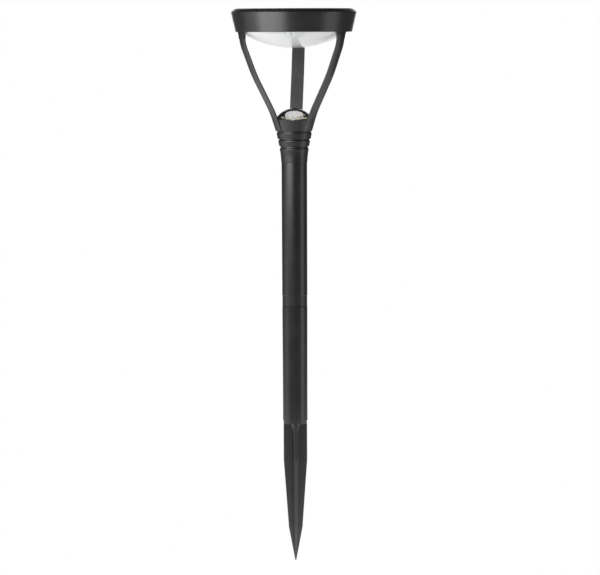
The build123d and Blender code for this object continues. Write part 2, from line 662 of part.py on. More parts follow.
def tray_screws():
    return group(Pos(x, y, TRAY_Z + TRAY_T) * pan_screw(6.5, shank_r=0.9) for x, y in TRAY_POSTS)


def battery():
    """A rechargeable cylindrical cell with its raised plus cap, lying along X."""
    can = fillet(Cylinder(BATTERY_R, BATTERY_L).edges().filter_by(GeomType.CIRCLE), 0.8)
    cap = Pos(0, 0, BATTERY_L / 2 + 0.4) * Cylinder(3.1, 1.2)
    return Pos(0, BATTERY_Y, BATTERY_Z) * Rot(0, 90, 0) * (can + cap)


def battery_plus_contact():
    """The flat spring plate at the plus end, with a solder tail."""
    x = BATTERY_L / 2 + 1.0
    plate = block((x, x + 0.5), (BATTERY_Y - 6, BATTERY_Y + 6), (BATTERY_Z - 7, BATTERY_Z + 7))
    fold = block((x, BATTERY_L / 2 + 4.1), (BATTERY_Y - 6, BATTERY_Y + 6), (BATTERY_Z + 6.6, BATTERY_Z + 7))
    back = block((x + 2.5, x + 3.0), (BATTERY_Y - 6, BATTERY_Y + 6), (BATTERY_Z - 7, BATTERY_Z + 7))
    return joined([plate, fold, back])


def battery_minus_spring():
    """A coiled contact spring between the minus end and the tray's wall."""
    coil = Helix(pitch=1.3, height=3.2, radius=4.2)
    profile = Plane(origin=coil @ 0, z_dir=coil % 0) * Circle(0.35)
    spring = sweep(profile, path=coil, is_frenet=True)
    return Pos(-BATTERY_L / 2 - 0.4, BATTERY_Y, BATTERY_Z) * Rot(0, -90, 0) * spring


def control_board():
    low = CONTROL_Z
    size_x, size_y, thick = CONTROL_SIZE
    board = Pos(0, CONTROL_Y, low + thick / 2) * Box(size_x, size_y, thick)
    for x, y in control_posts():
        board -= disc(1.1, low - 1, low + 3, x, y)
    return board


def board_components():
    """Driver chip, inductor, two capacitors, lead connector and small parts on the control board."""
    top = CONTROL_Z + CONTROL_SIZE[2]
    chip = block((-14, -9), (CONTROL_Y - 3, CONTROL_Y + 3), (top, top + 1.6))
    coil = block((2, 8), (CONTROL_Y - 3, CONTROL_Y + 3), (top, top + 3.2))
    cans = [disc(2.5, top, top + 6.5, x, CONTROL_Y - 4) for x in (-19, 14)]
    plug = block((-4, 4), PLUG_Y, (top, top + 3.0))
    small = [
        block((x, x + 2), (CONTROL_Y - 9, CONTROL_Y - 7.8), (top, top + 0.6)) for x in range(-10, 12, 4)
    ]
    return group([chip, coil, *cans, plug, *small])


def control_board_screws():
    top = CONTROL_Z + CONTROL_SIZE[2]
    screw = pan_screw(4.6, shank_r=0.9, head_r=1.8, head_t=1.3)
    return group(Pos(x, y, top) * screw for x, y in control_posts())


def panel_leads():
    """Two wires from the panel's underside to the control board."""
    low, high = CONTROL_Z + CONTROL_SIZE[2], CELL_LOW - PANEL_T
    return group(
        wire([(x, 30.0, high), (x, 30.0, low + 8), (x, CONTROL_Y + 1.5, low + 5), (x, CONTROL_Y + 1.5, low)],
             [2.5, 2.5])
        for x in (-23.0, -20.8)
    )


def switch_leads():
    """Two wires from the switch board round the battery's end to the control board."""
    low = CONTROL_Z + CONTROL_SIZE[2]
    place = button_place()
    starts = {s: place.from_local_coords((s, 3.0, SWITCH_DEPTH + 1.2)) for s in (0.0, 1.6)}
    rises = {s: place.from_local_coords((s, 3.0, SWITCH_DEPTH + 5.2)) for s in (0.0, 1.6)}
    return group(
        wire([starts[s], rises[s], (43.0 - s, -28.0, low + 7), (43.0 - s, 8.0, low + 7),
              (21.0 + s, CONTROL_Y, low + 7), (21.0 + s, CONTROL_Y, low)],
             [2.5, 9.0, 9.0, 2.5])
        for s in (0.0, 1.6)
    )


# ---------------------------------------------------------------- power button
def power_button():
    """The button cap, the collar that keeps it behind its sleeve, and the stem that works the switch."""
    cap = disc(BUTTON_R, -BUTTON_PROUD, SLEEVE_DEPTH + 0.1)
    cap = fillet(cap.edges().sort_by(Axis.Z)[0], 0.9)
    collar = Pos(0, 0, SLEEVE_DEPTH + 0.45) * Cylinder(BUTTON_R + 1.2, 0.7)
    stem = Pos(0, 0, SLEEVE_DEPTH + 1.7) * Cylinder(1.6, 2.0)
    return button_place() * (cap + collar + stem)


def power_switch():
    """The push switch's case, with a well that takes the button's stem."""
    case = Pos(0, 0, SWITCH_DEPTH - 1.75) * Box(6.0, 6.0, 3.5)
    case -= Pos(0, 0, SWITCH_DEPTH - 2.6) * Cylinder(1.9, 2.6)
    return button_place() * case


def switch_board():
    board = Pos(0, 0.6, SWITCH_DEPTH + 0.6) * Box(2 * SWITCH_POST_X + 4.4, 9.6, 1.2)
    for x in (-SWITCH_POST_X, SWITCH_POST_X):
        board -= Pos(x, 0.6, SWITCH_DEPTH) * Cylinder(0.95, 6)
    return button_place() * board


def switch_screws():
    screw = Pos(0, 0.6, SWITCH_DEPTH + 1.2) * pan_screw(5.0, shank_r=0.8, head_r=1.6, head_t=1.1)
    return group(button_place() * Pos(x, 0, 0) * screw for x in (-SWITCH_POST_X, SWITCH_POST_X))


def build():
    arms = {name: arm(name) for name in ARM_ANGLES}
    nodes = {
        "ground_spike": ground_spike(),
        "lower_pole": lower_pole(),
        "pole_coupler": pole_coupler(),
        "upper_pole": upper_pole(),
        "neck_o_ring": neck_o_ring(),
        "neck_cup": neck_cup(arms.values()),
        "clear_lens": clear_lens(),
        "lens_gasket": lens_gasket(),
        "led_board": led_board(),
        "led_chips": led_chips(),
        "centre_cap": centre_cap(),
        "led_board_screws": led_board_screws(),
        **arms,
        "cable_cover": cable_cover(),
        "arm_foot_screws": arm_foot_screws(),
        "arm_top_screws": arm_top_screws(),
        "led_lead_red": led_lead(1),
        "led_lead_black": led_lead(-1),
        "head_rim": head_rim(),
        "reflector_dome": reflector_dome(),
        "dome_screws": dome_screws(),
        "panel_gasket": panel_gasket(),
        "panel_glass": panel_glass(),
        "solar_board": solar_board(),
        "solar_cells": solar_cells(),
        "cell_ribbons": cell_ribbons(),
        "component_tray": component_tray(),
        "tray_screws": tray_screws(),
        "battery": battery(),
        "battery_plus_contact": battery_plus_contact(),
        "battery_minus_spring": battery_minus_spring(),
        "control_board": control_board(),
        "board_components": board_components(),
        "control_board_screws": control_board_screws(),
        "panel_leads": panel_leads(),
        "switch_leads": switch_leads(),
        "power_button": power_button(),
        "power_switch": power_switch(),
        "switch_board": switch_board(),
        "switch_screws": switch_screws(),
    }
    os.makedirs("parts", exist_ok=True)
    for name, shape in nodes.items():
        export_step(shape, f"parts/{name}.step")


build()
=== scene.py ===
import json
import math

import bmesh
import bpy
from mathutils import Matrix, Vector

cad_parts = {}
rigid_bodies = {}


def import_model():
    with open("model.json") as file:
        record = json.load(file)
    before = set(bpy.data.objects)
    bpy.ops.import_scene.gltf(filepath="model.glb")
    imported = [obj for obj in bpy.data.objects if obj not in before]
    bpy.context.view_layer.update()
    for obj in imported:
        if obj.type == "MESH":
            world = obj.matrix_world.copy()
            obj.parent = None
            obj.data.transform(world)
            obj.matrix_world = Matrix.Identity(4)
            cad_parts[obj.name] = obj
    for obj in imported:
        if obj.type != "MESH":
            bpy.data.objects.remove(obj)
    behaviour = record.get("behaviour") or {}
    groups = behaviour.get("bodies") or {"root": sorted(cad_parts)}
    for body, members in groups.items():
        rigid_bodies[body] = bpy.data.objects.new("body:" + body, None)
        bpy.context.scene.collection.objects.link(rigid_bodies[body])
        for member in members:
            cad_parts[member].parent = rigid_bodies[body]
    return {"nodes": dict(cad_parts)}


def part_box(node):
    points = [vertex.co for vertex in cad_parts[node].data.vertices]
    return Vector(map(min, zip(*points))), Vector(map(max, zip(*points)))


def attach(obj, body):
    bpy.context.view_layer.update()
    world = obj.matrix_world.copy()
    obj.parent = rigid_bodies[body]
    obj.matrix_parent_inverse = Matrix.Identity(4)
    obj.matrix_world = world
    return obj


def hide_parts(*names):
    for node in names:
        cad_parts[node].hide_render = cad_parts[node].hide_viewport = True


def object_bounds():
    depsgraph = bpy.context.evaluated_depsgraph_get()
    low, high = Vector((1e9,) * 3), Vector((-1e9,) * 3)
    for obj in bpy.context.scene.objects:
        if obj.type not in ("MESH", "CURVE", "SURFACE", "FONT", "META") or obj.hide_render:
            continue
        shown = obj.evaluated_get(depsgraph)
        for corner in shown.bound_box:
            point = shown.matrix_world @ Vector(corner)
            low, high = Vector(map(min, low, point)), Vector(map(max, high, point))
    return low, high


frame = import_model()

bl_info = {
    "name": "Solar Garden Light Finisher",
    "version": (1, 0, 0),
    "blender": (4, 5, 0),
    "location": "3D View > Sidebar > Garden Light",
    "description": "Finishes a solar garden light: plastics, reflector dome, clear lens, LEDs, solar panel",
    "category": "Object",
}

CAD_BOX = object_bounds()
MM = 0.001

LED_SIZE = (2.8 * MM, 3.5 * MM)
BOARD_CLEARANCE = 0.2 * MM      # between the LED board and the lens's skirt
LENS_STEP = 0.8 * MM            # from the LED board's top up to the underside of the lens's rim
GLASS_CHAMFER = 0.5 * MM

CAMERA_BEARING = math.radians(5.0)      # from straight in front, towards the right
CAMERA_AWAY = 5.2
CAMERA_HEIGHT = 0.511
CAMERA_ROLL = math.radians(-0.22)
AIM_SIDEWAYS = 0.0068
AIM_HEIGHT = 0.1776
BEHIND = (-0.087, 0.996, 0)             # from the object straight away from the camera

# name, bearing from the camera towards the left, distance, height, width, tall, strength
SOFTBOXES = (
    ("key_softbox", 42.0, 0.45, 0.58, 0.42, 0.6, 2.2),
    ("left_softbox", 80.0, 0.6, 0.4, 0.46, 1.1, 0.7),
    ("right_softbox", -74.0, 0.85, 0.4, 0.46, 1.2, 1.35),
    ("rear_softbox", 180.0, 1.6, 0.9, 1.0, 1.0, 3.0),
)


# ---------------------------------------------------------------- what a user may change
class GardenLightSizes(bpy.types.PropertyGroup):
    """Sizes of the details that are modelled on top of the frame."""

    lens_radius: bpy.props.FloatProperty(
        name="Lens curve", description="Radius of the clear lens's dome", default=27.9 * MM, unit="LENGTH")
    lens_sink: bpy.props.FloatProperty(
        name="Lens bond", description="Depth by which the clear lens is bonded into the LED board",
        default=0.06 * MM, unit="LENGTH")
    glass_gap: bpy.props.FloatProperty(
        name="Glass gap", description="Air left between the panel's glass and its ribbons",
        default=0.05 * MM, unit="LENGTH")
    package_wall: bpy.props.FloatProperty(
        name="LED wall", description="Width of the wall round an LED's phosphor",
        default=0.35 * MM, unit="LENGTH")
    package_dish: bpy.props.FloatProperty(
        name="LED dish", description="Depth of the dish that holds an LED's phosphor",
        default=0.16 * MM, unit="LENGTH")
    moulding_grain: bpy.props.FloatProperty(
        name="Moulding grain", description="Height of the fine grain on the black mouldings",
        default=0.02 * MM, unit="LENGTH")
    cell_finger_pitch: bpy.props.FloatProperty(
        name="Finger pitch", description="Distance between the silver fingers on a solar cell",
        default=1.9 * MM, unit="LENGTH")


class GardenLightColours(bpy.types.PropertyGroup):
    """Colours of the finishes."""

    black_plastic: bpy.props.FloatVectorProperty(
        name="Black plastic", description="Colour of the black mouldings", default=(0.0085, 0.0085, 0.0092),
        subtype="COLOR", size=3, min=0, max=1)
    white_plastic: bpy.props.FloatVectorProperty(
        name="White plastic", description="Colour of the reflector dome", default=(0.83, 0.84, 0.845),
        subtype="COLOR", size=3, min=0, max=1)
    phosphor: bpy.props.FloatVectorProperty(
        name="Phosphor", description="Colour of the LEDs' phosphor", default=(0.93, 0.66, 0.07),
        subtype="COLOR", size=3, min=0, max=1)
    silicon: bpy.props.FloatVectorProperty(
        name="Silicon", description="Colour of the solar cells", default=(0.006, 0.012, 0.055),
        subtype="COLOR", size=3, min=0, max=1)
    floor: bpy.props.FloatVectorProperty(
        name="Floor", description="Colour of the studio floor", default=(0.9, 0.9, 0.9),
        subtype="COLOR", size=3, min=0, max=1)


def sizes():
    return bpy.context.scene.garden_light_sizes


def colours():
    return bpy.context.scene.garden_light_colours


# ---------------------------------------------------------------- node helpers
def place(tree, kind, settings=None, **inputs):
    """A node with its settings and inputs. An input given a socket is linked; i0 is the first input."""
    node = tree.nodes.new("ShaderNode" + kind)
    for key, value in (settings or {}).items():
        setattr(node, key, value)
    for key, value in inputs.items():
        label = key.replace("_", " ")
        socket = node.inputs[int(label[1:])] if label[1:].isdigit() else node.inputs[label]
        if isinstance(value, bpy.types.NodeSocket):
            tree.links.new(value, socket)
        else:
            socket.default_value = value
    return node


def math_node(tree, operation, a, b=0.0, clamp=False):
    return place(tree, "Math", {"operation": operation, "use_clamp": clamp}, i0=a, i1=b).outputs[0]


def mapped(tree, value, low, high, to_low, to_high):
    node = place(tree, "MapRange", None, Value=value, From_Min=low, From_Max=high,
                 To_Min=to_low, To_Max=to_high)
    return node.outputs[0]


def mixed(tree, factor, a, b):
    """A colour mix; a and b are colours or sockets."""
    node = tree.nodes.new("ShaderNodeMix")
    node.data_type = "RGBA"
    for socket, value in ((node.inputs[0], factor), (node.inputs[6], a), (node.inputs[7], b)):
        if isinstance(value, bpy.types.NodeSocket):
            tree.links.new(value, socket)
        else:
            socket.default_value = (*value, 1.0) if isinstance(value, tuple) and len(value) == 3 else value
    return node.outputs[2]


def new_group(name, inputs, outputs):
    """A shader node group with number inputs (label: default) and outputs (label: socket type)."""
    tree = bpy.data.node_groups.new(name, "ShaderNodeTree")
    for label, value in inputs.items():
        tree.interface.new_socket(label, in_out="INPUT", socket_type="NodeSocketFloat").default_value = value
    for label, kind in outputs.items():
        tree.interface.new_socket(label, in_out="OUTPUT", socket_type="NodeSocket" + kind)
    return tree, tree.nodes.new("NodeGroupInput").outputs, tree.nodes.new("NodeGroupOutput").inputs


def position(tree):
    return place(tree, "TexCoord").outputs["Object"]


# ---------------------------------------------------------------- shared effects
def build_moulding_grain():
    """Fine etched texture of an injection mould, with slow drifts in gloss."""
    tree, given, put = new_group(
        "Moulding Grain", {"Grain Size": 0.0005, "Gloss Low": 0.28, "Gloss High": 0.36},
        {"Height": "Float", "Roughness": "Float", "Drift": "Float"})
    where = position(tree)
    scale = math_node(tree, "DIVIDE", 1.0, given["Grain Size"])
    grain = place(tree, "TexNoise", None, Vector=where, Scale=scale, Detail=3.0, Roughness=0.6)
    drift = place(tree, "TexNoise", None, Vector=where, Scale=28.0, Detail=4.0, Roughness=0.55)
    gloss = place(tree, "MapRange", None, Value=drift.outputs[0], From_Min=0.3, From_Max=0.7,
                  To_Min=given["Gloss Low"], To_Max=given["Gloss High"])
    tree.links.new(grain.outputs[0], put["Height"])
    tree.links.new(gloss.outputs[0], put["Roughness"])
    tree.links.new(drift.outputs[0], put["Drift"])
    return tree


def build_settled_dust():
    """A mask of pale dust, thicker on faces that look up."""
    tree, given, put = new_group("Settled Dust", {"Amount": 0.3, "Patch Size": 0.012}, {"Mask": "Float"})
    where = position(tree)
    up = place(tree, "SeparateXYZ", None, Vector=place(tree, "NewGeometry").outputs["Normal"]).outputs["Z"]
    scale = math_node(tree, "DIVIDE", 1.0, given["Patch Size"])
    patch = place(tree, "TexNoise", None, Vector=where, Scale=scale, Detail=6.0, Roughness=0.7)
    speck = place(tree, "TexNoise", None, Vector=where, Scale=900.0, Detail=2.0)
    facing = mapped(tree, up, -0.2, 1.0, 0.15, 1.0)
    amount = math_node(tree, "MULTIPLY", mapped(tree, patch.outputs[0], 0.45, 0.75, 0.0, 1.0), facing)
    fine = math_node(tree, "MULTIPLY", amount, mapped(tree, speck.outputs[0], 0.35, 0.65, 0.3, 1.0))
    tree.links.new(math_node(tree, "MULTIPLY", fine, given["Amount"], clamp=True), put["Mask"])
    return tree


def build_hairline_scuffs():
    """A mask of fine scuffs that run mostly round the pole, left by pushing and turning the pieces."""
    tree, given, put = new_group("Hairline Scuffs", {"Amount": 0.5, "Length Ratio": 14.0}, {"Mask": "Float"})
    across = 90.0
    upwards = math_node(tree, "MULTIPLY", across, given["Length Ratio"])
    stretch = place(tree, "CombineXYZ", None, X=across, Y=across, Z=upwards).outputs[0]
    where = place(tree, "VectorMath", {"operation": "MULTIPLY"}, i0=position(tree), i1=stretch).outputs[0]
    lines = place(tree, "TexNoise", None, Vector=where, Scale=1.0, Detail=2.0)
    patch = place(tree, "TexNoise", None, Vector=position(tree), Scale=35.0, Detail=2.0)
    thin = mapped(tree, lines.outputs[0], 0.66, 0.74, 0.0, 1.0)
    kept = math_node(tree, "MULTIPLY", thin, mapped(tree, patch.outputs[0], 0.5, 0.62, 0.0, 1.0), clamp=True)
    tree.links.new(math_node(tree, "MULTIPLY", kept, given["Amount"], clamp=True), put["Mask"])
    return tree


def build_parting_line():
    """The faint raised line where the two halves of a mould met, on the plane Y = 0."""
    tree, given, put = new_group("Parting Line", {"Width": 0.00035}, {"Height": "Float"})
    across = place(tree, "SeparateXYZ", None, Vector=position(tree)).outputs["Y"]
    share = math_node(tree, "DIVIDE", math_node(tree, "ABSOLUTE", across), given["Width"])
    tree.links.new(mapped(tree, share, 0.4, 1.0, 1.0, 0.0), put["Height"])
    return tree


EFFECTS = {}


def effect(tree, name, **inputs):
    """Places a shared effect in a material with its own values."""
    node = tree.nodes.new("ShaderNodeGroup")
    node.node_tree = EFFECTS[name]
    for key, value in inputs.items():
        node.inputs[key.replace("_", " ")].default_value = value
    return node.outputs


# ---------------------------------------------------------------- finishes
def finish_of(name, **fixed):
    """A material with one Principled shader whose plain values are set on its own sockets."""
    material = bpy.data.materials.new(name)
    material.use_nodes = True
    tree = material.node_tree
    shader = tree.nodes["Principled BSDF"]
    for key, value in fixed.items():
        shader.inputs[key.replace("_", " ")].default_value = value
    return material, tree, shader


def bump(tree, shader, height, strength, depth):
    """Feeds a height into the shader's normal."""
    node = place(tree, "Bump", None, Height=height, Strength=strength, Distance=depth)
    tree.links.new(node.outputs[0], shader.inputs["Normal"])


def satin_black(name, gloss=(0.28, 0.36), dust=0.1, scuffs=0.25, seam=False, grain_size=0.0005, painted_light_gain=1.0):
    """Satin black moulding: etched grain, drifting gloss, a trace of dust and hairline scuffs. A gain above
    1 lightens the black as painted light, for parts that stand in more light.
    """
    material, tree, shader = finish_of(name, IOR=1.5, Coat_Weight=1.0, Coat_Roughness=0.4)
    grain = effect(tree, "Moulding Grain", Grain_Size=grain_size, Gloss_Low=gloss[0], Gloss_High=gloss[1])
    dusty = effect(tree, "Settled Dust", Amount=dust)["Mask"]
    scuffed = effect(tree, "Hairline Scuffs", Amount=scuffs)["Mask"]
    # painted light: the gain scales the base black up where a part stands in more light
    base = tuple(painted_light_gain * c for c in colours().black_plastic)
    lighter = tuple(min(1.0, 1.7 * c + 0.002) for c in base)
    colour = mixed(tree, mapped(tree, grain["Drift"], 0.35, 0.65, 0.0, 1.0), base, lighter)
    colour = mixed(tree, scuffed, colour, (0.06, 0.06, 0.062))
    colour = mixed(tree, dusty, colour, (0.3, 0.28, 0.25))
    tree.links.new(colour, shader.inputs["Base Color"])
    rough = math_node(tree, "ADD", grain["Roughness"], math_node(tree, "MULTIPLY", dusty, 0.5))
    rough = math_node(tree, "ADD", rough, math_node(tree, "MULTIPLY", scuffed, 0.12), clamp=True)
    tree.links.new(rough, shader.inputs["Roughness"])
    height = grain["Height"]
    if seam:
        line = effect(tree, "Parting Line")["Height"]
        height = math_node(tree, "ADD", height, math_node(tree, "MULTIPLY", line, 1.6))
    bump(tree, shader, height, 0.35, sizes().moulding_grain)
    return material


def gloss_white():
    """Glossy white moulding of the reflector dome, with faint flow marks and a little dust."""
    material, tree, shader = finish_of("reflector white", IOR=1.5, Coat_Roughness=0.06)
    drift = place(tree, "TexNoise", None, Vector=position(tree), Scale=14.0, Detail=3.0).outputs[0]
    base = tuple(colours().white_plastic)
    shade = tuple(0.965 * c for c in base)
    colour = mixed(tree, mapped(tree, drift, 0.35, 0.65, 0.0, 1.0), base, shade)
    dusty = effect(tree, "Settled Dust", Amount=0.12, Patch_Size=0.02)["Mask"]
    colour = mixed(tree, dusty, colour, (0.62, 0.58, 0.5))
    tree.links.new(colour, shader.inputs["Base Color"])
    rough = mapped(tree, drift, 0.3, 0.7, 0.12, 0.2)
    rough = math_node(tree, "ADD", rough, math_node(tree, "MULTIPLY", dusty, 0.3))
    tree.links.new(rough, shader.inputs["Roughness"])
    tree.links.new(mapped(tree, drift, 0.3, 0.7, 0.65, 0.5), shader.inputs["Coat Weight"])
    ripple = place(tree, "TexNoise", None, Vector=position(tree), Scale=60.0, Detail=2.0).outputs[0]
    bump(tree, shader, ripple, 0.2, 0.02 * MM)
    return material


def clear_moulding(name, ior, low, high):
    """Clear polished moulding or glass with slight smears in its gloss."""
    material, tree, shader = finish_of(name, IOR=ior, Transmission_Weight=1.0)
    smear = place(tree, "TexNoise", None, Vector=position(tree), Scale=70.0, Detail=3.0, Distortion=0.8)
    smear = smear.outputs[0]
    tree.links.new(mapped(tree, smear, 0.35, 0.7, low, high), shader.inputs["Roughness"])
    tint = mixed(tree, smear, (0.97, 0.985, 0.98), (0.99, 0.995, 0.995))
    tree.links.new(tint, shader.inputs["Base Color"])
    return material


def solder_mask(name, colour, copper):
    """Circuit board lacquer over faint raised tracks."""
    material, tree, shader = finish_of(name, IOR=1.5)
    where = position(tree)
    tracks = place(tree, "TexBrick", {"offset": 0.5}, Vector=where, Scale=110.0, Mortar_Size=0.05,
                   Mortar_Smooth=0.2).outputs["Fac"]
    weave = place(tree, "TexNoise", None, Vector=where, Scale=700.0, Detail=2.0).outputs[0]
    tree.links.new(mixed(tree, tracks, colour, copper), shader.inputs["Base Color"])
    tree.links.new(mapped(tree, weave, 0.3, 0.7, 0.25, 0.42), shader.inputs["Roughness"])
    height = math_node(tree, "ADD", tracks, math_node(tree, "MULTIPLY", weave, 0.3))
    bump(tree, shader, height, 0.4, 0.03 * MM)
    return material


def speckled(name, colour, other, low, high, metallic=0.0, scale=300.0, depth=0.02):
    """A finish with small changes in colour, gloss and height, for rubber, metal, card and wire."""
    material, tree, shader = finish_of(name, IOR=1.5, Metallic=metallic)
    spots = place(tree, "TexNoise", None, Vector=position(tree), Scale=scale, Detail=4.0, Roughness=0.6)
    spots = spots.outputs[0]
    tint = mixed(tree, mapped(tree, spots, 0.35, 0.65, 0.0, 1.0), colour, other)
    tree.links.new(tint, shader.inputs["Base Color"])
    tree.links.new(mapped(tree, spots, 0.3, 0.7, low, high), shader.inputs["Roughness"])
    bump(tree, shader, spots, 0.35, depth * MM)
    return material


def silicon_cell():
    """Blue-black silicon with crystal patches and fine silver fingers."""
    material, tree, shader = finish_of("silicon cell", IOR=1.9)
    where = position(tree)
    grains = place(tree, "TexVoronoi", {"feature": "F1"}, Vector=where, Scale=160.0, Randomness=1.0)
    shade = place(tree, "SeparateColor", None, Color=grains.outputs["Color"]).outputs[0]
    base = tuple(colours().silicon)
    brighter = tuple(1.5 * c + 0.002 for c in base)
    colour = mixed(tree, shade, base, brighter)
    along = place(tree, "SeparateXYZ", None, Vector=where).outputs["X"]
    turns = math_node(tree, "DIVIDE", along, sizes().cell_finger_pitch)
    offset = math_node(tree, "ABSOLUTE", math_node(tree, "SUBTRACT", math_node(tree, "FRACT", turns), 0.5))
    finger = mapped(tree, offset, 0.44, 0.47, 0.0, 1.0)
    tree.links.new(mixed(tree, finger, colour, (0.3, 0.31, 0.33)), shader.inputs["Base Color"])
    tree.links.new(mapped(tree, shade, 0.0, 1.0, 0.3, 0.38), shader.inputs["Roughness"])
    tree.links.new(math_node(tree, "MULTIPLY", finger, 0.5), shader.inputs["Metallic"])
    bump(tree, shader, finger, 0.5, 0.02 * MM)
    return material


def printed_sleeve():
    """Shrink sleeve of the cell: a plain green with a lighter band at its plus end."""
    material, tree, shader = finish_of("cell sleeve", IOR=1.5)
    where = position(tree)
    along = place(tree, "SeparateXYZ", None, Vector=where).outputs["X"]
    band = mapped(tree, along, 0.0235, 0.0238, 0.0, 1.0)
    wrinkle = place(tree, "TexNoise", None, Vector=where, Scale=160.0, Detail=3.0).outputs[0]
    colour = mixed(tree, mapped(tree, wrinkle, 0.3, 0.7, 0.0, 1.0), (0.02, 0.19, 0.075), (0.03, 0.25, 0.1))
    tree.links.new(mixed(tree, band, colour, (0.75, 0.76, 0.74)), shader.inputs["Base Color"])
    tree.links.new(mapped(tree, wrinkle, 0.3, 0.7, 0.18, 0.3), shader.inputs["Roughness"])
    bump(tree, shader, wrinkle, 0.3, 0.04 * MM)
    return material


def dress(node, material):
    """Gives a CAD node its finish."""
    data = frame["nodes"][node].data
    data.materials.clear()
    data.materials.append(material)


# ---------------------------------------------------------------- modelling helpers
def clear_selection():
    if bpy.context.mode != "OBJECT":
        bpy.ops.object.mode_set(mode="OBJECT")
    bpy.ops.object.select_all(action="DESELECT")


def centre_in_mesh(piece):
    """Moves the piece's place into its mesh, so that its object sits at the origin, unturned."""
    clear_selection()
    piece.select_set(True)
    bpy.context.view_layer.objects.active = piece
    bpy.ops.object.transform_apply(location=True, rotation=True, scale=True)


def lathe(name, outline, steps):
    """Extrudes a vertex through (radius, height) points and spins the outline about the Z axis."""
    clear_selection()
    bpy.ops.mesh.primitive_plane_add(size=MM, location=(0, 0, 0))
    piece = bpy.context.object
    piece.name = name
    bpy.ops.object.mode_set(mode="EDIT")
    bpy.ops.mesh.select_mode(type="VERT")
    bpy.ops.mesh.select_all(action="SELECT")
    bpy.ops.mesh.merge(type="CENTER")
    r, z = outline[0]
    bpy.ops.transform.translate(value=(r, 0, z))
    for (r0, z0), (r1, z1) in zip(outline, outline[1:]):
        bpy.ops.mesh.extrude_region_move(TRANSFORM_OT_translate={"value": (r1 - r0, 0, z1 - z0)})
    bpy.ops.mesh.select_all(action="SELECT")
    bpy.ops.mesh.spin(steps=steps, angle=2 * math.pi, center=(0, 0, 0), axis=(0, 0, 1))
    bpy.ops.mesh.select_all(action="SELECT")
    bpy.ops.mesh.remove_doubles(threshold=1e-6)
    bpy.ops.mesh.normals_make_consistent(inside=False)
    bpy.ops.object.mode_set(mode="OBJECT")
    return piece


def smooth(piece, angle=35.0):
    clear_selection()
    piece.select_set(True)
    bpy.context.view_layer.objects.active = piece
    bpy.ops.object.shade_smooth_by_angle(angle=math.radians(angle))


def islands(node):
    """The middle and the (low, high) corners of each separate solid of a CAD node."""
    mesh = bmesh.new()
    mesh.from_mesh(frame["nodes"][node].data)
    bmesh.ops.remove_doubles(mesh, verts=mesh.verts, dist=1e-6)
    left, found = set(mesh.verts), []
    while left:
        front, seen = [left.pop()], []
        while front:
            vertex = front.pop()
            seen.append(vertex.co.copy())
            for edge in vertex.link_edges:
                other = edge.other_vert(vertex)
                if other in left:
                    left.discard(other)
                    front.append(other)
        low = Vector([min(c[i] for c in seen) for i in range(3)])
        high = Vector([max(c[i] for c in seen) for i in range(3)])
        found.append(((low + high) / 2, low, high))
    mesh.free()
    return sorted(found, key=lambda item: (round(item[0].x, 4), round(item[0].y, 4)))


# ---------------------------------------------------------------- operators, one for each group of pieces
class PieceOperator:
    bl_options = {"REGISTER", "UNDO"}


class LIGHT_OT_shared_effects(PieceOperator, bpy.types.Operator):
    """Builds the shared effects that the finishes use"""

    bl_idname = "garden_light.shared_effects"
    bl_label = "Shared Effects"

    def execute(self, context):
        for build in (build_moulding_grain, build_settled_dust, build_hairline_scuffs, build_parting_line):
            tree = build()
            EFFECTS[tree.name] = tree
        return {"FINISHED"}


class LIGHT_OT_pole(PieceOperator, bpy.types.Operator):
    """Finishes the two tubes of the pole and the coupler between them"""

    bl_idname = "garden_light.pole"
    bl_label = "Pole"

    def execute(self, context):
        tube = satin_black("pole satin black", gloss=(0.27, 0.33), seam=True)
        dress("lower_pole", tube)
        dress("upper_pole", tube)
        dress("pole_coupler", satin_black("coupler satin black", gloss=(0.34, 0.42), scuffs=0.6))
        return {"FINISHED"}


class LIGHT_OT_spike(PieceOperator, bpy.types.Operator):
    """Finishes the ground spike"""

    bl_idname = "garden_light.spike"
    bl_label = "Ground Spike"

    def execute(self, context):
        # painted light: the spike's black is made 1.3 times lighter to stand for the light it gets from the
        # floor below
        coarse = satin_black("spike black with painted light", gloss=(0.34, 0.44), scuffs=0.7, dust=0.15,
                             grain_size=0.0007, painted_light_gain=1.3)
        dress("ground_spike", coarse)
        return {"FINISHED"}


class LIGHT_OT_neck(PieceOperator, bpy.types.Operator):
    """Finishes the ribbed neck cup, its O-ring and the lens's gasket"""

    bl_idname = "garden_light.neck"
    bl_label = "Neck"

    def execute(self, context):
        dress("neck_cup", satin_black("neck satin black", gloss=(0.3, 0.37), dust=0.14))
        rubber = speckled("black rubber", (0.012, 0.012, 0.012), (0.022, 0.021, 0.02), 0.5, 0.7, scale=800.0)
        for node in ("neck_o_ring", "lens_gasket", "panel_gasket"):
            dress(node, rubber)
        return {"FINISHED"}


class LIGHT_OT_arms(PieceOperator, bpy.types.Operator):
    """Finishes the three arms, the cable cover and the leads in the rear arm"""

    bl_idname = "garden_light.arms"
    bl_label = "Arms"

    def execute(self, context):
        black = satin_black("arm satin black", gloss=(0.27, 0.34))
        dress("arm_left", black)
        dress("arm_right", black)
        # painted light: the rear arm and the cable cover get a black 3.5 times lighter, standing for the
        # light from the white dome that they face
        dress("arm_rear", satin_black("rear arm black with painted light", gloss=(0.3, 0.38), painted_light_gain=3.5))
        dress("cable_cover", satin_black("cover black with painted light", gloss=(0.32, 0.4), painted_light_gain=3.5))
        red = speckled("red insulation", (0.42, 0.012, 0.012), (0.52, 0.02, 0.018), 0.35, 0.5)
        dress("led_lead_red", red)
        dark = speckled("black insulation", (0.014, 0.014, 0.014), (0.024, 0.024, 0.024), 0.35, 0.5)
        dress("led_lead_black", dark)
        return {"FINISHED"}


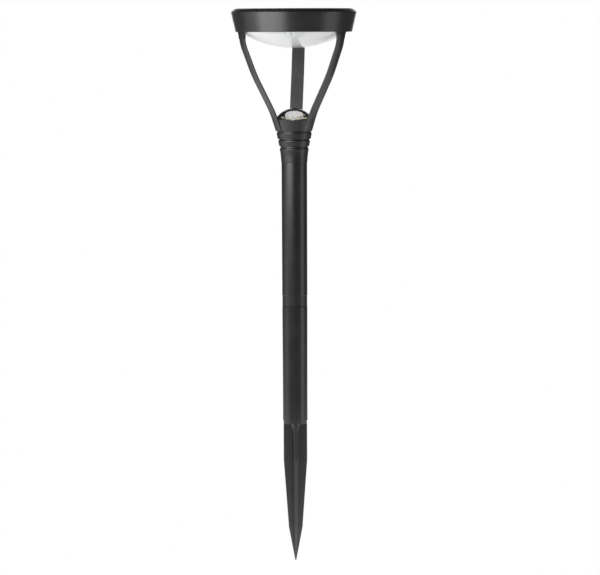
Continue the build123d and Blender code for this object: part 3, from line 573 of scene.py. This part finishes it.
class LIGHT_OT_head_rim(PieceOperator, bpy.types.Operator):
    """Finishes the head's tapered rim"""

    bl_idname = "garden_light.head_rim"
    bl_label = "Head Rim"

    def execute(self, context):
        dress("head_rim", satin_black("rim satin black", gloss=(0.25, 0.31), dust=0.05, scuffs=0.1))
        return {"FINISHED"}


class LIGHT_OT_reflector(PieceOperator, bpy.types.Operator):
    """Finishes the white reflector dome and the power button in it"""

    bl_idname = "garden_light.reflector"
    bl_label = "Reflector Dome"

    def execute(self, context):
        dress("reflector_dome", gloss_white())
        dress("power_button", speckled("button white", (0.82, 0.83, 0.83), (0.87, 0.875, 0.88), 0.2, 0.32))
        return {"FINISHED"}


class LIGHT_OT_lens(PieceOperator, bpy.types.Operator):
    """Turns the clear lens, bonded to the LED board below it"""

    bl_idname = "garden_light.lens"
    bl_label = "Clear Lens"

    def execute(self, context):
        low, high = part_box("clear_lens")
        board_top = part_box("led_board")[1].z
        rim_r, curve = high.x, sizes().lens_radius
        centre = high.z - curve
        start, count = math.asin(rim_r / curve), 24
        turns = [start * k / count for k in range(count, -1, -1)]
        arc = [(curve * math.sin(turn), centre + curve * math.cos(turn)) for turn in turns]
        base, step = board_top - sizes().lens_sink, board_top + LENS_STEP
        board_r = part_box("led_board")[1].x + BOARD_CLEARANCE
        skirt_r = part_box("lens_gasket")[1].x
        skirt = [(board_r, base), (board_r, low.z), (skirt_r, low.z), (skirt_r, step), (rim_r, step)]
        outline = [(0.0, base)] + skirt + arc
        lens = lathe("lens_dome", outline, 96)
        smooth(lens, 30.0)
        lens.data.materials.append(clear_moulding("lens clear", 1.49, 0.0, 0.012))
        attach(lens, "head")
        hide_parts("clear_lens")
        return {"FINISHED"}


class LIGHT_OT_led_board(PieceOperator, bpy.types.Operator):
    """Models the LED packages and finishes the board and the white cap"""

    bl_idname = "garden_light.led_board"
    bl_label = "LED Board"

    def execute(self, context):
        dress("led_board", solder_mask("black board", (0.006, 0.006, 0.007), (0.012, 0.011, 0.009)))
        cap = speckled("white cap with painted glow", (0.84, 0.835, 0.82), (0.88, 0.875, 0.865), 0.4, 0.5, scale=120.0)
        # painted glow: a faint emission makes the white cap shine, standing for the light that reaches it
        # through the lens
        shader = cap.node_tree.nodes["Principled BSDF"]
        shader.inputs["Emission Color"].default_value = (1.0, 0.98, 0.95, 1.0)
        shader.inputs["Emission Strength"].default_value = 0.12
        dress("centre_cap", cap)
        wall = speckled("LED ceramic", (0.82, 0.8, 0.74), (0.88, 0.87, 0.83), 0.35, 0.5, scale=1500.0)
        phosphor = tuple(colours().phosphor)
        glow = speckled("LED phosphor", phosphor, tuple(0.93 * c for c in phosphor), 0.4, 0.55, scale=2500.0)
        for index, (middle, low, high) in enumerate(islands("led_chips")):
            package = self.package(f"led_package_{index + 1}", middle, low, high)
            package.data.materials.append(wall)
            package.data.materials.append(glow)
            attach(package, "head")
            if index == 0:
                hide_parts("led_chips")
        return {"FINISHED"}

    def package(self, name, middle, low, high):
        """One LED package: a bevelled block with a dish in its top that is filled with phosphor."""
        clear_selection()
        turn = math.atan2(middle.y, middle.x)
        bpy.ops.mesh.primitive_cube_add(size=1.0, location=(0, 0, 0))
        package = bpy.context.object
        package.name = name
        bpy.ops.object.mode_set(mode="EDIT")
        bpy.ops.mesh.select_all(action="SELECT")
        bpy.ops.transform.resize(value=(*LED_SIZE, high.z - low.z))
        bpy.ops.mesh.select_mode(type="FACE")
        bpy.ops.mesh.select_all(action="DESELECT")
        mesh = bmesh.from_edit_mesh(package.data)
        for face in mesh.faces:
            face.select_set(face.normal.z > 0.9)
        bmesh.update_edit_mesh(package.data)
        bpy.ops.mesh.inset(thickness=sizes().package_wall)
        bpy.ops.mesh.extrude_region_move(TRANSFORM_OT_translate={"value": (0, 0, -sizes().package_dish)})
        bpy.ops.mesh.inset(thickness=0.12 * MM)
        bpy.ops.mesh.extrude_region_move(TRANSFORM_OT_translate={"value": (0, 0, 0.06 * MM)})
        bpy.ops.object.mode_set(mode="OBJECT")
        top = max(v.co.z for v in package.data.vertices)
        for face in package.data.polygons:
            face.material_index = int(face.center.z < top - 0.01 * MM and face.normal.z > 0.3)
        package.rotation_euler = (0, 0, turn)
        package.location = (middle.x, middle.y, middle.z)
        bevel = package.modifiers.new("edges", "BEVEL")
        bevel.width = 0.08 * MM
        bevel.segments = 2
        bpy.ops.object.modifier_apply(modifier=bevel.name)
        centre_in_mesh(package)
        smooth(package)
        return package


class LIGHT_OT_solar_panel(PieceOperator, bpy.types.Operator):
    """Turns the panel's glass and finishes its cells, ribbons and board"""

    bl_idname = "garden_light.solar_panel"
    bl_label = "Solar Panel"

    def execute(self, context):
        low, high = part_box("panel_glass")
        base, edge = low.z + sizes().glass_gap, GLASS_CHAMFER
        side = [(high.x, base), (high.x, high.z - edge), (high.x - edge, high.z)]
        outline = [(0.0, base)] + side + [(0.0, high.z)]
        glass = lathe("panel_cover_glass", outline, 128)
        smooth(glass, 30.0)
        glass.data.materials.append(clear_moulding("panel glass", 1.5, 0.0, 0.015))
        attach(glass, "head")
        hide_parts("panel_glass")
        dress("solar_cells", silicon_cell())
        tin = speckled("tinned ribbon", (0.68, 0.68, 0.68), (0.78, 0.78, 0.79), 0.28, 0.42, 1.0, 900.0)
        dress("cell_ribbons", tin)
        board = speckled("panel board", (0.012, 0.013, 0.016), (0.02, 0.02, 0.024), 0.5, 0.65, scale=500.0)
        dress("solar_board", board)
        return {"FINISHED"}


class LIGHT_OT_electronics(PieceOperator, bpy.types.Operator):
    """Finishes the tray, battery, contacts, boards and wires inside the head"""

    bl_idname = "garden_light.electronics"
    bl_label = "Electronics"

    def execute(self, context):
        dress("component_tray", satin_black("tray black", gloss=(0.42, 0.52)))
        dress("battery", printed_sleeve())
        nickel = speckled("nickel", (0.6, 0.57, 0.5), (0.7, 0.67, 0.6), 0.22, 0.36, 1.0, 700.0)
        dress("battery_plus_contact", nickel)
        dress("battery_minus_spring", nickel)
        green = solder_mask("green board", (0.012, 0.1, 0.03), (0.03, 0.17, 0.06))
        dress("control_board", green)
        dress("switch_board", green)
        dark = speckled("component case", (0.014, 0.014, 0.015), (0.03, 0.03, 0.032), 0.4, 0.55, scale=900.0)
        dress("board_components", dark)
        dress("power_switch", dark)
        red = speckled("panel wire red", (0.42, 0.012, 0.012), (0.5, 0.02, 0.02), 0.35, 0.5)
        dress("panel_leads", red)
        black = speckled("switch wire", (0.016, 0.016, 0.016), (0.026, 0.026, 0.026), 0.35, 0.5)
        dress("switch_leads", black)
        return {"FINISHED"}


class LIGHT_OT_screws(PieceOperator, bpy.types.Operator):
    """Finishes the screws"""

    bl_idname = "garden_light.screws"
    bl_label = "Screws"

    def execute(self, context):
        zinc = speckled("zinc plate", (0.55, 0.55, 0.56), (0.68, 0.68, 0.68), 0.26, 0.4, 1.0, 1200.0)
        for node in frame["nodes"]:
            if node.endswith("_screws"):
                dress(node, zinc)
        return {"FINISHED"}


class LIGHT_OT_stage(PieceOperator, bpy.types.Operator):
    """Sets the pale floor, the soft lights and the camera"""

    bl_idname = "garden_light.stage"
    bl_label = "Stage"

    def execute(self, context):
        scene = context.scene
        clear_selection()
        for old in [o for o in scene.objects if o.type in {"LIGHT", "CAMERA"} or o.name == "Cube"]:
            bpy.data.objects.remove(old)
        scene.view_settings.view_transform = "Standard"
        self.floor(CAD_BOX[0][2] - 0.0006)
        self.world(scene)
        for lamp in SOFTBOXES:
            self.softbox(*lamp)
        self.camera(scene)
        return {"FINISHED"}

    def floor(self, level):
        """A white floor that lights the object from below, near it and in a strip behind it."""
        bpy.ops.mesh.primitive_grid_add(x_subdivisions=8, y_subdivisions=8, size=200, location=(0, 0, level))
        floor = bpy.context.object
        floor.name = "studio_floor"
        material, tree, shader = finish_of("studio floor", Emission_Strength=1.0)
        where = position(tree)
        away = place(tree, "VectorMath", {"operation": "DISTANCE"}, i0=where, i1=(-0.25, 0.3, 0))
        heading = place(tree, "VectorMath", {"operation": "NORMALIZE"}, i0=where).outputs["Vector"]
        behind = place(tree, "VectorMath", {"operation": "DOT_PRODUCT"}, i0=heading, i1=BEHIND)
        near_glow = mapped(tree, away.outputs["Value"], 0.65, 1.7, 0.9, 0.02)
        rear_glow = mapped(tree, behind.outputs["Value"], 0.93, 0.98, 0.0, 0.9)
        glow = math_node(tree, "MAXIMUM", near_glow, rear_glow)
        given_off = mixed(tree, glow, (0.0, 0.0, 0.0), (0.95, 0.95, 0.95))
        tree.links.new(given_off, shader.inputs["Emission Color"])
        lit = place(tree, "Emission", None, Color=(1, 1, 1, 1), Strength=1.0)
        seen = place(tree, "LightPath").outputs["Is Camera Ray"]
        both = place(tree, "MixShader", None, i0=seen, i1=shader.outputs[0], i2=lit.outputs[0])
        tree.links.new(both.outputs[0], tree.nodes["Material Output"].inputs["Surface"])
        drift = place(tree, "TexNoise", None, Vector=position(tree), Scale=1.5, Detail=3.0).outputs[0]
        pale = tuple(colours().floor)
        darker = tuple(0.985 * c for c in pale)
        tree.links.new(mixed(tree, drift, pale, darker), shader.inputs["Base Color"])
        tree.links.new(mapped(tree, drift, 0.0, 1.0, 0.75, 0.9), shader.inputs["Roughness"])
        floor.data.materials.append(material)

    def world(self, scene):
        """White where the camera or the glass looks past the object, dimmer as a light."""
        world = bpy.data.worlds.new("studio")
        world.use_nodes = True
        tree = world.node_tree
        tree.nodes.clear()
        path = place(tree, "LightPath")
        seen = math_node(tree, "MAXIMUM", path.outputs["Is Camera Ray"], path.outputs["Is Transmission Ray"])
        dim = place(tree, "Background", None, Color=(1, 1, 1, 1), Strength=0.06)
        white = place(tree, "Background", None, Color=(1, 1, 1, 1), Strength=1.0)
        both = place(tree, "MixShader", None, i0=seen, i1=dim.outputs[0], i2=white.outputs[0])
        place(tree, "OutputWorld", None, Surface=both.outputs[0])
        scene.world = world

    def softbox(self, name, bearing, distance, height, width, tall, watts):
        turn = CAMERA_BEARING - math.radians(bearing)
        data = bpy.data.lights.new(name, "AREA")
        data.shape = "RECTANGLE"
        data.size, data.size_y, data.energy = width, tall, watts
        lamp = bpy.data.objects.new(name, data)
        lamp.location = (math.sin(turn) * distance, -math.cos(turn) * distance, height)
        aim = Vector((0, 0, height)) - lamp.location
        lamp.rotation_euler = aim.to_track_quat("-Z", "Y").to_euler()
        lamp.visible_camera = False
        bpy.context.scene.collection.objects.link(lamp)

    def camera(self, scene):
        data = bpy.data.cameras.new("camera")
        data.lens, data.sensor_width = 240.0, 36.0
        data.clip_end = 1000.0
        camera = bpy.data.objects.new("camera", data)
        side, front = math.sin(CAMERA_BEARING), math.cos(CAMERA_BEARING)
        place_at = Vector((side * CAMERA_AWAY, -front * CAMERA_AWAY, CAMERA_HEIGHT))
        target = Vector((front * AIM_SIDEWAYS, side * AIM_SIDEWAYS, AIM_HEIGHT))
        look = (target - place_at).to_track_quat("-Z", "Y").to_matrix().to_4x4()
        camera.matrix_world = Matrix.Translation(place_at) @ look @ Matrix.Rotation(CAMERA_ROLL, 4, "Z")
        scene.collection.objects.link(camera)
        scene.camera = camera


OPERATORS = (
    LIGHT_OT_shared_effects,
    LIGHT_OT_pole,
    LIGHT_OT_spike,
    LIGHT_OT_neck,
    LIGHT_OT_arms,
    LIGHT_OT_head_rim,
    LIGHT_OT_reflector,
    LIGHT_OT_lens,
    LIGHT_OT_led_board,
    LIGHT_OT_solar_panel,
    LIGHT_OT_electronics,
    LIGHT_OT_screws,
    LIGHT_OT_stage,
)


class LIGHT_PT_panel(bpy.types.Panel):
    """Sidebar panel with the sizes, colours and pieces of the garden light"""

    bl_idname = "LIGHT_PT_panel"
    bl_label = "Garden Light"
    bl_space_type = "VIEW_3D"
    bl_region_type = "UI"
    bl_category = "Garden Light"

    def draw(self, context):
        for group in (context.scene.garden_light_sizes, context.scene.garden_light_colours):
            column = self.layout.column(align=True)
            for key in group.__annotations__:
                column.prop(group, key)
        column = self.layout.column(align=True)
        for operator in OPERATORS:
            column.operator(operator.bl_idname)


CLASSES = (GardenLightSizes, GardenLightColours, *OPERATORS, LIGHT_PT_panel)


def register():
    for item in CLASSES:
        bpy.utils.register_class(item)
    bpy.types.Scene.garden_light_sizes = bpy.props.PointerProperty(type=GardenLightSizes)
    bpy.types.Scene.garden_light_colours = bpy.props.PointerProperty(type=GardenLightColours)


def unregister():
    del bpy.types.Scene.garden_light_colours
    del bpy.types.Scene.garden_light_sizes
    for item in reversed(CLASSES):
        bpy.utils.unregister_class(item)


def main():
    register()
    for operator in OPERATORS:
        space, name = operator.bl_idname.split(".")
        getattr(getattr(bpy.ops, space), name)()


if __name__ == "__main__":
    main()
